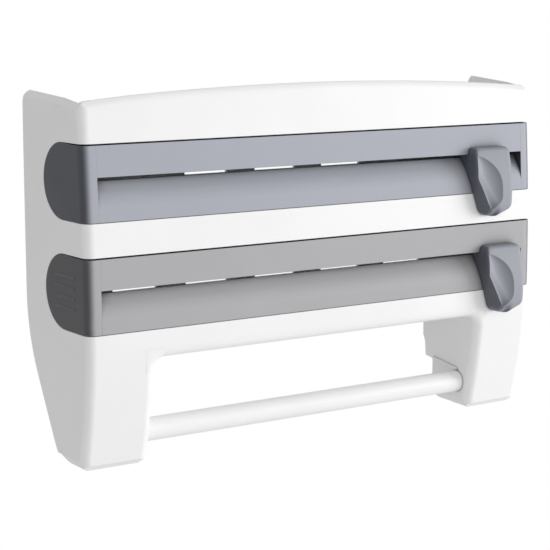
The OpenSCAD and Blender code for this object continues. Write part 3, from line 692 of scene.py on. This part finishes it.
@dataclass
class Casing:
    """White casing with its shelves and legs, the back panel and the screws that hold it.

    A catch is how near a vertex lies to a height to be moved, a reach or a blend is how far a rounding
    spreads, and web_crowding draws the rings of the webs towards the opening.
    """

    maker: Maker
    bow: FrontBow
    front_half: float = 189.1 * MM
    side_lean: float = 5.9 * MM
    leg_x: float = 138.5 * MM
    band_z: float = -159.5 * MM
    foot_z: float = -236.0 * MM
    shoulder_z: float = 15.0 * MM
    edge: float = 7.0 * MM
    corner_reach: float = 10.0 * MM
    foot_lift: float = 5.0 * MM
    foot_blend: float = 9.0 * MM
    foot_gain: float = 1.4
    shoulder_drop: float = 2.8 * MM
    shoulder_depth: float = 15.0 * MM
    shoulder_blend: float = 20.0 * MM
    window_radius: float = 9.0 * MM
    web_margin: float = 0.5 * MM
    web_skin: float = 0.012 * MM
    web_wall: float = 4.0 * MM
    web_crowding: float = 1.5
    web_rings: int = 18
    web_turns: int = 16
    seam_z: float = -133.05 * MM
    seam_catch: float = 0.06 * MM
    pane_z: float = -124.2 * MM
    pane_catch: float = 0.1 * MM
    pane_drop: float = 0.8 * MM
    screw: CrossScrew = CrossScrew(
        head_radius=3.0 * MM, head_height=1.8 * MM, shank_radius=1.5 * MM, length=14.4 * MM)
    screw_xs: tuple[float, ...] = (-170.0 * MM, -60.0 * MM, 60.0 * MM, 170.0 * MM)
    screw_y: float = -11.0 * MM
    screw_z: float = -75.8 * MM

    def build(self) -> None:
        """Makes the casing, the panel and the panel screws."""
        form = self.maker.merged("casing")
        self._close_seam(form)
        self._soften_corners(form)
        self.maker.place("casing_skin", form, Body.ROOT, Slot.WHITE_SHELL, "casing")
        self.maker.place("window_corners", self._window_corners(), Body.ROOT, Slot.WHITE_SHELL)
        form = self.maker.merged("back_panel")
        for vert in form.verts:
            if abs(vert.co.z - self.pane_z) < self.pane_catch:
                vert.co.z -= self.pane_drop
        self.maker.place("back_panel_skin", form, Body.ROOT, Slot.WHITE_PANEL, "back_panel")
        places = [Vector((x, self.screw_y, self.screw_z)) for x in self.screw_xs]
        form = self.screw.build(places, Vector((0.0, 1.0, 0.0)))
        self.maker.place("panel_screws_cross", form, Body.ROOT, Slot.SCREW_STEEL, "panel_screws")

    def _close_seam(self, form: Form) -> None:
        """Closes the hairline between the upper and the lower shell.

        Args:
            form: the casing's bmesh.
        """
        for vert in form.verts:
            if abs(vert.co.z - self.seam_z) < self.seam_catch:
                vert.co.z = self.seam_z
        bmesh.ops.remove_doubles(form, verts=form.verts, dist=MERGE_REACH)

    def _soften_corners(self, form: Form) -> None:
        """Rounds the lower corners of the feet and the front top corners further.

        Args:
            form: the casing's bmesh.
        """
        for vert in form.verts:
            across = abs(vert.co.x)
            behind = vert.co.y - self.bow.front_y(vert.co.z)
            half = self.front_half + self.side_lean * max(0.0, behind) / self.bow.depth
            outside = clamped(1.0 - (half - across) / self.corner_reach)
            inside = clamped(1.0 - abs(across - self.leg_x) / self.corner_reach)
            low = clamped(self.foot_gain * (1.0 - (vert.co.z - self.foot_z) / self.foot_blend))
            vert.co.z += self.foot_lift * max(outside, inside) ** 2 * low
            near = clamped((self.shoulder_depth - behind) / self.corner_reach)
            high = clamped(1.0 - (self.shoulder_z - vert.co.z) / self.shoulder_blend)
            vert.co.z -= self.shoulder_drop * outside**2 * near * high

    def _window_corners(self) -> Form:
        """Makes the webs that carry the front round the top corners of the towel opening.

        Returns:
            A new bmesh with both webs.
        """
        form = bmesh.new()
        inner = self.window_radius - self.web_skin
        reach = self.window_radius + self.edge + self.web_margin
        for side in (-1.0, 1.0):
            front, back = twin_grids(form, self.web_rings, self.web_turns)
            for verts, is_front in ((front, True), (back, False)):
                for vert in verts:
                    angle = (vert.co.y + 1.0) / 2.0 * math.pi / 2
                    outer = reach / max(math.cos(angle), math.sin(angle))
                    share = ((vert.co.x + 1.0) / 2.0) ** self.web_crowding
                    radius = inner + (outer - inner) * share
                    x = self.leg_x - self.window_radius + radius * math.cos(angle)
                    z = self.band_z - self.window_radius + radius * math.sin(angle)
                    short = max(0.0, self.edge - (radius - inner))
                    bend = self.edge - math.sqrt(max(0.0, self.edge**2 - short**2))
                    inwards = bend if is_front else self.edge + self.web_wall
                    vert.co = (side * x, self.bow.front_y(z) - self.web_skin + inwards, z)
            bmesh.ops.bridge_loops(form, edges=boundary(front + back))
        bmesh.ops.recalc_face_normals(form, faces=form.faces)
        return form


@dataclass
class FilmBox:
    """One film box: lid, trough, end caps, cutter rail and the screws of the caps.

    The rise of the lip is from the box's middle, that of the screws from its underside, and the drops of sill
    and nose are from the lip.
    """

    maker: Maker
    level: Level
    bow: FrontBow
    body: Body
    grey: Slot
    middle_z: float
    half_height: float = 25.5 * MM
    half_width: float = 180.0 * MM
    axis_y: float = -54.4 * MM
    top_gap: float = 0.7 * MM
    top_catch: float = 0.3 * MM
    gap_run: float = 20.0 * MM
    lip_rise: float = 4.0 * MM
    lip_sag: float = 0.45 * MM
    sag_reach: float = 6.0 * MM
    sill_depth: float = 9.3 * MM
    sill_drop: float = 3.4 * MM
    sill_margin: float = 0.2 * MM
    sill_catch: float = 1.4 * MM
    nose_drop: float = 16.5 * MM
    nose_blend: float = 6.0 * MM
    # Heights of the level cuts that give the nose points to round, in mm from the nose.
    nose_cuts: range = range(-6, 10)
    screw: CrossScrew = CrossScrew(
        head_radius=2.2 * MM, head_height=1.2 * MM, shank_radius=1.2 * MM, length=5.2 * MM)
    screw_xs: tuple[float, ...] = (-171.0 * MM, 171.0 * MM)
    screw_ys: tuple[float, ...] = (-58.8 * MM, -67.6 * MM)
    screw_rise: float = 1.2 * MM

    def build(self) -> None:
        """Makes the pieces of the box."""
        name = self.level.value
        shapers = {"lid": self._settle, "left_cap": self._settle, "right_cap": self._settle,
                   "trough": self._round_nose}
        for part, shape in shapers.items():
            form = self.maker.merged(f"{name}_{part}")
            shape(form)
            self.maker.place(f"{name}_{part}_skin", form, self.body, self.grey, f"{name}_{part}")
        self.maker.skin(f"{name}_rail", self.body, Slot.RAIL_METAL)
        screw_z = self.middle_z - self.half_height + self.screw_rise
        places = [Vector((x, y, screw_z)) for x in self.screw_xs for y in self.screw_ys]
        form = self.screw.build(places, Vector((0.0, 0.0, -1.0)))
        node = f"{name}_cap_screws"
        self.maker.place(f"{node}_cross", form, self.body, Slot.SCREW_STEEL, node)

    def _round_nose(self, form: Form) -> None:
        """Evens out the sill below the lip and rounds the nose between it and the front strip.

        Args:
            form: the trough's bmesh.
        """
        lip_z = self.middle_z + self.lip_rise
        nose_z = lip_z - self.nose_drop
        height = self.nose_drop - self.sill_drop
        lean = (self.bow.front_y(lip_z) + self.sill_depth - self.bow.front_y(nose_z + height)) / height
        for step in self.nose_cuts:
            bmesh.ops.bisect_plane(
                form, geom=form.verts[:] + form.edges[:] + form.faces[:], dist=CUT_REACH,
                plane_co=(0.0, 0.0, nose_z + step * MM), plane_no=(0.0, 0.0, 1.0))
        for vert in form.verts:
            above = vert.co.z - nose_z
            front = self.bow.front_y(vert.co.z)
            is_level = -self.nose_blend < above < height - self.sill_margin
            if not is_level or vert.co.y >= front + lean * max(0.0, above) + self.sill_catch:
                continue
            if above < self.nose_blend:
                above = (above + self.nose_blend) ** 2 / (4.0 * self.nose_blend)
            vert.co.y = front + lean * above

    def _settle(self, form: Form) -> None:
        """Lowers the flat top for the shadow gap, and lets the lip sag towards the right.

        Args:
            form: the bmesh of a lid or an end cap.
        """
        for vert in form.verts:
            rise = vert.co.z - self.middle_z
            if rise > self.half_height - self.top_catch:
                vert.co.z -= self.top_gap * clamped((self.axis_y - vert.co.y) / self.gap_run)
            near_lip = clamped(1.0 - abs(rise - self.lip_rise) / self.sag_reach)
            vert.co.z -= self.lip_sag * near_lip * (vert.co.x + self.half_width) / (2.0 * self.half_width)


@dataclass(frozen=True)
class ThumbOutline:
    """The knob's outline seen from the front: x runs from its middle to the right, fall from its top down.

    An arc is its middle's x and fall and its radius. The cores are places across that are always inside,
    above and below the start of the slant.
    """

    half: float = 16.75 * MM
    length: float = 52.0 * MM
    left_corner: float = 4.5 * MM
    right_corner: float = 5.0 * MM
    slant_fall: float = 21.5 * MM
    slant_deg: float = 17.0
    left_arc: tuple[float, float, float] = (-0.77 * MM, 43.0 * MM, 9.0 * MM)
    right_arc: tuple[float, float, float] = (9.0 * MM, 41.9 * MM, 6.0 * MM)
    tip_deg: float = 22.0
    high_core: float = 2.0 * MM
    low_core: float = -0.3 * MM
    halvings: int = 40

    def left_room(self, x: float, fall: float) -> float:
        """Gives the distance from a place to the left flank.

        Args:
            x: the place across.
            fall: the place down.

        Returns:
            The distance, which is below zero outside.
        """
        slant = math.radians(self.slant_deg)
        off = x + self.half
        near = [off, off * math.cos(slant) - (fall - self.slant_fall) * math.sin(slant)]
        mid_x, mid_fall, radius = self.left_arc
        if fall > mid_fall:
            near.append(radius - math.hypot(min(0.0, x - mid_x), fall - mid_fall) + max(0.0, x - mid_x))
        return min(near)

    def other_room(self, x: float, fall: float) -> float:
        """Gives the distance from a place to the nearest of the top, the right side and the tip.

        Args:
            x: the place across.
            fall: the place down.

        Returns:
            The distance, which is below zero outside.
        """
        tip = math.radians(self.tip_deg)
        near = [fall, self._taper(fall) - x, (self.length - fall - x * math.tan(tip)) * math.cos(tip)]
        for side, radius in ((-1.0, self.left_corner), (1.0, self.right_corner)):
            past = side * x - self.half + radius
            if fall < radius and past > 0.0:
                near.append(radius - math.hypot(past, fall - radius))
        mid_x, mid_fall, radius = self.right_arc
        if fall > mid_fall and x > mid_x:
            near.append(radius - math.hypot(x - mid_x, fall - mid_fall))
        return min(near)

    def _taper(self, fall: float) -> float:
        """Gives the X of the right side, which leans inwards on its way down."""
        mid_x, mid_fall, radius = self.right_arc
        return self.half + (mid_x + radius - self.half) * clamped(fall / mid_fall)

    def limits(self, fall: float) -> tuple[float, float]:
        """Finds the outline's two sides at a height.

        Args:
            fall: the place down.

        Returns:
            The X of the left side and of the right side.
        """
        core = self.high_core if fall < self.slant_fall else self.low_core
        sides = []
        for far in (-self.half - MM, self.half + MM):
            near = core
            for _ in range(self.halvings):
                middle = (near + far) / 2
                is_inside = min(self.left_room(middle, fall), self.other_room(middle, fall)) >= 0.0
                near, far = (middle, far) if is_inside else (near, middle)
            sides.append(near)
        return sides[0], sides[1]


@dataclass
class Cutter:
    """One sliding cutter: the thumb knob, its carriage, blade and screws.

    A fall is a distance below the knob's top, and a depth is how far it stands in front of the lip. Spans
    are shares of the knob's length, dish_share is the dish's depth as a share of its own width, and the
    other shares and dish_most_edge are of the knob's width at that height.
    """

    maker: Maker
    level: Level
    bow: FrontBow
    body: Body
    outline: ThumbOutline
    columns: tuple[int, int, int] = (6, 24, 16)
    rows: int = 84
    row_crowding: float = 0.6
    land_crowding: float = 1.6
    smooth_deg: float = 24.0
    rise: float = 5.0 * MM
    top_depth: float = 8.4 * MM
    belly_depth: float = 16.4 * MM
    belly_fall: float = 47.0 * MM
    edge: float = 2.6 * MM
    tip_edge: float = 4.6 * MM
    tip_span: tuple[float, float] = (0.55, 0.95)
    flank_edge: float = 11.0 * MM
    flank_span: tuple[float, float] = (0.15, 0.8)
    play: float = 0.6 * MM
    strip_fall: float = 21.5 * MM
    sill_depth: float = 9.3 * MM
    sill_drop: float = 3.4 * MM
    dish_edge: float = 1.2 * MM
    dish_low_edge: float = 4.6 * MM
    dish_span: tuple[float, float] = (0.45, 0.9)
    dish_most_edge: float = 0.3
    dish_least: float = 0.8 * MM
    dish_least_share: float = 0.1
    dish_share: float = 0.19
    dish_bend: float = 0.64
    land_share: float = 0.2
    rim_start: float = 5.3 * MM
    rim_end: float = 48.5 * MM
    rim_start_x: float = -16.8 * MM
    rim_wide: float = 29.5 * MM
    rim_wide_x: float = 5.2 * MM
    rim_swell: float = 2.44
    rim_round: float = 0.75
    rim_turn: float = 39.6 * MM
    rim_turn_radius: float = 2.6 * MM
    rim_slope: float = 1.35
    stem_size: tuple[float, float, float] = (7.0 * MM, 2.4 * MM, 6.5 * MM)
    stem_edge: float = 0.4 * MM
    stem_x: float = 9.5 * MM
    stem_behind: float = 4.2 * MM
    stem_drop: float = 0.75 * MM

    def build(self) -> None:
        """Makes the pieces of the cutter."""
        node = f"{self.level.value}_knob"
        self.maker.place(f"{node}_thumb", self._knob(), self.body, Slot.KNOB_GREY, node, self.smooth_deg)
        for part, slot in (
            ("carriage", Slot.CARRIAGE_DARK),
            ("blade", Slot.BLADE_STEEL),
            ("carriage_screws", Slot.SCREW_STEEL),
        ):
            self.maker.skin(f"{self.level.value}_{part}", self.body, slot)

    def _passed(self, fall: float, span: tuple[float, float]) -> float:
        """Gives how much of a span of the knob's length lies above a place, from 0 to 1."""
        start, end = span
        return clamped((fall / self.outline.length - start) / (end - start))

    def _front(self, fall: float) -> float:
        """Gives how far the knob stands in front of the lip at a distance below its top."""
        share = min(1.0, fall / self.belly_fall)
        return self.top_depth + (self.belly_depth - self.top_depth) * (1.0 - (1.0 - share) ** 2)

    def _rounding(self, x: float, fall: float) -> float:
        """Gives how far the rounded edges lie behind the front.

        Args:
            x: the place from the knob's middle.
            fall: the distance below the knob's top.

        Returns:
            The set-back at that place.
        """
        flank = self.edge + (self.flank_edge - self.edge) * self._passed(fall, self.flank_span)
        other = self.edge + (self.tip_edge - self.edge) * self._passed(fall, self.tip_span) ** 2
        back = 0.0
        for radius, room in (
            (flank, self.outline.left_room(x, fall)),
            (other, self.outline.other_room(x, fall)),
        ):
            reach = clamped(1.0 - room / radius)
            back = max(back, radius * (1.0 - math.sqrt(1.0 - reach * reach)))
        return back

    def _rim(self, fall: float) -> float:
        """Gives the right rim of the thumb dish, which swells to its widest place and then turns back.

        Args:
            fall: the distance below the knob's top.

        Returns:
            The rim's X from the knob's middle.
        """
        if not self.rim_start <= fall <= self.rim_end:
            return -self.outline.half
        if fall < self.rim_wide:
            short = (self.rim_wide - fall) / (self.rim_wide - self.rim_start)
            swell = (1.0 - short**self.rim_swell) ** self.rim_round
            return self.rim_start_x + (self.rim_wide_x - self.rim_start_x) * swell
        return self.rim_wide_x + self._turned(self.rim_wide) - self._turned(fall)

    def _turned(self, fall: float) -> float:
        """Gives how far the rim has turned back, along a slope that starts softly."""
        past = fall - self.rim_turn
        return self.rim_slope * (past + math.hypot(past, self.rim_turn_radius)) / 2

    def _back(self, fall: float, lip_y: float, top_z: float) -> float:
        """Gives the Y of the knob's back, which runs into the hollow sill under the lip.

        Args:
            fall: the distance below the knob's top.
            lip_y: the Y of the lip.
            top_z: the height of the knob's top.

        Returns:
            The Y of the back.
        """
        ledge_fall = self.rise + 2 * self.play
        deep_fall = ledge_fall + self.sill_drop
        deep_y = lip_y + self.sill_depth - 2 * self.play
        if fall < ledge_fall:
            return lip_y - self.play
        if fall < deep_fall:
            return deep_y
        if fall < self.strip_fall:
            strip_y = self.bow.front_y(top_z - self.strip_fall) - self.play
            return deep_y + (strip_y - deep_y) * (fall - deep_fall) / (self.strip_fall - deep_fall)
        return self.bow.front_y(top_z - fall) - self.play

    def _row(self, fall: float) -> list[tuple[float, float]]:
        """Spreads one row of the knob's grid over the left edge, the dish and the land beside it.

        Args:
            fall: the distance below the knob's top.

        Returns:
            The X and the depth of the dish of each vertex.
        """
        edge_columns, dish_columns, land_columns = self.columns
        left, right = self.outline.limits(fall)
        span = right - left
        edge = self.dish_edge + (self.dish_low_edge - self.dish_edge) * self._passed(fall, self.dish_span)
        crest = left + min(edge, self.dish_most_edge * span)
        least = crest + min(self.dish_least, self.dish_least_share * span)
        rim = min(max(self._rim(fall), least), right - self.land_share * span)
        depth = self.dish_share * max(0.0, rim - crest - self.dish_least)
        row = [(left + (crest - left) * i / edge_columns, 0.0) for i in range(edge_columns)]
        for i in range(dish_columns):
            bend = (i / dish_columns) ** self.dish_bend
            row.append((crest + (rim - crest) * i / dish_columns, depth * 4.0 * bend * (1.0 - bend)))
        for i in range(land_columns + 1):
            share = 1.0 - (1.0 - i / land_columns) ** self.land_crowding
            row.append((rim + (right - rim) * share, 0.0))
        return row

    def _knob(self) -> Form:
        """Shapes the thumb knob from two grids that share one outline, bridged round their rims.

        Returns:
            A new bmesh with the knob and its stems.
        """
        low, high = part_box(f"{self.level.value}_knob")
        middle_x, top_z, lip_y = (low[0] + high[0]) / 2, high[2], low[1] + self.belly_depth
        form = bmesh.new()
        columns = sum(self.columns)
        front, back = twin_grids(form, columns, self.rows)
        turns = [math.tau * i / self.rows for i in range(self.rows + 1)]
        falls = [self.outline.length * (t - self.row_crowding * math.sin(t)) / math.tau for t in turns]
        table = [self._row(fall) for fall in falls]
        for verts, is_front in ((front, True), (back, False)):
            for vert in verts:
                line = round((1.0 - vert.co.y) / 2.0 * self.rows)
                fall = falls[line]
                x, dish = table[line][round((vert.co.x + 1.0) / 2.0 * columns)]
                if is_front:
                    y = lip_y - self._front(fall) + self._rounding(x, fall) + dish
                else:
                    y = self._back(fall, lip_y, top_z)
                vert.co = (middle_x + x, y, top_z - fall)
        bmesh.ops.bridge_loops(form, edges=boundary(front + back))
        bmesh.ops.recalc_face_normals(form, faces=form.faces)
        for side in (-1.0, 1.0):
            self._stem(form, Vector((middle_x + side * self.stem_x, lip_y, top_z - self.rise)))
        return form

    def _stem(self, form: Form, lip: Vector) -> None:
        """Adds a stem that joins the knob to its carriage under the lip.

        Args:
            form: the bmesh of the knob.
            lip: the place of the lip above the stem.
        """
        stem = bmesh.ops.create_cube(form, size=1.0)["verts"]
        bmesh.ops.scale(form, vec=self.stem_size, verts=stem)
        bmesh.ops.translate(form, vec=lip + Vector((0.0, self.stem_behind, -self.stem_drop)), verts=stem)
        edges = list(dict.fromkeys(e for v in stem for e in v.link_edges))
        bmesh.ops.bevel(
            form, geom=edges, offset=self.stem_edge, segments=2, profile=0.5, affect="EDGES", material=-1)


@dataclass
class TowelRod:
    """The lift-out towel rod and its two end plugs."""

    maker: Maker

    def build(self) -> None:
        """Makes the rod and its plugs."""
        self.maker.skin("rod_tube", Body.ROD, Slot.WHITE_ROD)
        for side in ("left", "right"):
            self.maker.skin(f"rod_{side}_end", Body.ROD_ENDS, Slot.WHITE_ROD)


@dataclass
class Studio:
    """Camera at the photograph's place, soft light, white surroundings and a pale floor."""

    eye: Vector
    pitch_deg: float = 9.8
    yaw_deg: float = 32.01
    focal_px: float = 1599.0
    image_px: float = 550.0
    sensor_mm: float = 36.0
    nearest: float = 0.01
    farthest: float = 50.0
    lamp_aim: tuple[float, float, float] = (0.0, -0.05, -0.1)
    fill: float = 0.53
    white: Colour = (1.0, 1.0, 1.0)
    floor_colour: Colour = (0.82, 0.82, 0.82)
    floor_z: float = -0.95
    floor_radius: float = 12.0
    floor_sides: int = 96
    fade_span: tuple[float, float] = (0.5, 1.5)
    fade_share: tuple[float, float] = (0.7, 1.0)

    def build(self) -> None:
        """Makes the camera, the lights, the world and the floor."""
        scene = bpy.context.scene
        scene.view_settings.view_transform = "Standard"
        data = bpy.data.cameras.new("camera")
        data.sensor_width = self.sensor_mm
        data.lens = self.focal_px / self.image_px * self.sensor_mm
        data.clip_start, data.clip_end = self.nearest, self.farthest
        camera = bpy.data.objects.new("camera", data)
        camera.location = self.eye
        camera.rotation_euler = (math.radians(90.0 - self.pitch_deg), 0.0, math.radians(-self.yaw_deg))
        scene.collection.objects.link(camera)
        scene.camera = camera
        self._lamp("key", Vector((2.7, -1.95, 0.3)), size=1.7, power=60.0)
        self._lamp("front_fill", Vector((-0.5, -2.2, 0.3)), size=1.6, power=8.0)
        self._world(scene)
        self._floor(scene)

    def _lamp(self, name: str, place: Vector, size: float, power: float) -> None:
        """Adds a square soft light that looks at the object.

        Args:
            name: the lamp's name.
            place: where it stands.
            size: the length of its side.
            power: its power in watts.
        """
        data = bpy.data.lights.new(name, "AREA")
        data.size, data.energy = size, power
        lamp = bpy.data.objects.new(name, data)
        lamp.location = place
        aim = Vector(self.lamp_aim) - place
        lamp.rotation_euler = aim.to_track_quat("-Z", "Y").to_euler()
        bpy.context.scene.collection.objects.link(lamp)

    @staticmethod
    def _shown(graph: Graph, lit: Node, white: Node, share: object = 1.0) -> Socket:
        """Shows white to the camera, glossy and transmission rays, and the lit shader to all others.

        Args:
            graph: the graph of the world or the floor.
            lit: the node of the lit shader.
            white: the node of the white shader.
            share: how much of the white those rays get.

        Returns:
            The mixed shader.
        """
        rays = graph.add("ShaderNodeLightPath").outputs
        seen = graph.maths("MAXIMUM", rays["Is Camera Ray"], rays["Is Glossy Ray"])
        seen = graph.maths("MAXIMUM", seen, rays["Is Transmission Ray"])
        given = {0: graph.maths("MULTIPLY", seen, share), 1: lit.outputs[0], 2: white.outputs[0]}
        return graph.add("ShaderNodeMixShader", given).outputs[0]

    def _world(self, scene: bpy.types.Scene) -> None:
        """Adds the white surroundings and the even fill light.

        Args:
            scene: the scene that gets them.
        """
        world = bpy.data.worlds.new("white_room")
        graph = Graph.of(world)
        lit = graph.add("ShaderNodeBackground", {"Color": self.white, "Strength": self.fill})
        white = graph.add("ShaderNodeBackground", {"Color": self.white})
        graph.add("ShaderNodeOutputWorld", {"Surface": self._shown(graph, lit, white)})
        scene.world = world

    def _floor(self, scene: bpy.types.Scene) -> None:
        """Adds the pale floor, which fades into the white surroundings.

        Args:
            scene: the scene that it is linked to.
        """
        form = bmesh.new()
        bmesh.ops.create_circle(form, cap_ends=True, segments=self.floor_sides, radius=self.floor_radius)
        bmesh.ops.translate(form, vec=(0.0, 0.0, self.floor_z), verts=form.verts)
        mesh = bpy.data.meshes.new("floor")
        form.to_mesh(mesh)
        form.free()
        floor = bpy.data.objects.new("floor", mesh)
        scene.collection.objects.link(floor)
        material = bpy.data.materials.new("pale_floor")
        graph = Graph.of(material)
        lit = graph.add("ShaderNodeBsdfDiffuse", {"Color": self.floor_colour})
        white = graph.add("ShaderNodeEmission", {"Color": self.white})
        place = graph.add("ShaderNodeTexCoord").outputs["Object"]
        flat = graph.add("ShaderNodeVectorMath", {0: place, 1: (1.0, 1.0, 0.0)}, operation="MULTIPLY")
        reach = graph.add("ShaderNodeVectorMath", {0: flat.outputs[0]}, operation="LENGTH")
        fade = graph.spread(reach.outputs["Value"], self.fade_span, self.fade_share, smooth=True)
        graph.add("ShaderNodeOutputMaterial", {"Surface": self._shown(graph, lit, white, fade)})
        mesh.materials.append(material)


def main() -> None:
    """Builds the scene."""
    logging.basicConfig(level=logging.INFO, format="%(name)s: %(message)s")
    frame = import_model()
    Studio(eye=Vector((-0.6288, -1.0199, 0.0800))).build()
    maker = Maker(frame["nodes"], Palette())
    bow = FrontBow()
    Casing(maker, bow).build()
    FilmBox(maker, Level.UPPER, bow, Body.UPPER_BOX, Slot.UPPER_GREY, middle_z=-38.6 * MM).build()
    FilmBox(maker, Level.LOWER, bow, Body.LOWER_BOX, Slot.LOWER_GREY, middle_z=-113.0 * MM).build()
    outline = ThumbOutline()
    Cutter(maker, Level.UPPER, bow, Body.UPPER_CUTTER, outline).build()
    Cutter(maker, Level.LOWER, bow, Body.LOWER_CUTTER, outline).build()
    TowelRod(maker).build()


if __name__ == "__main__":
    main()
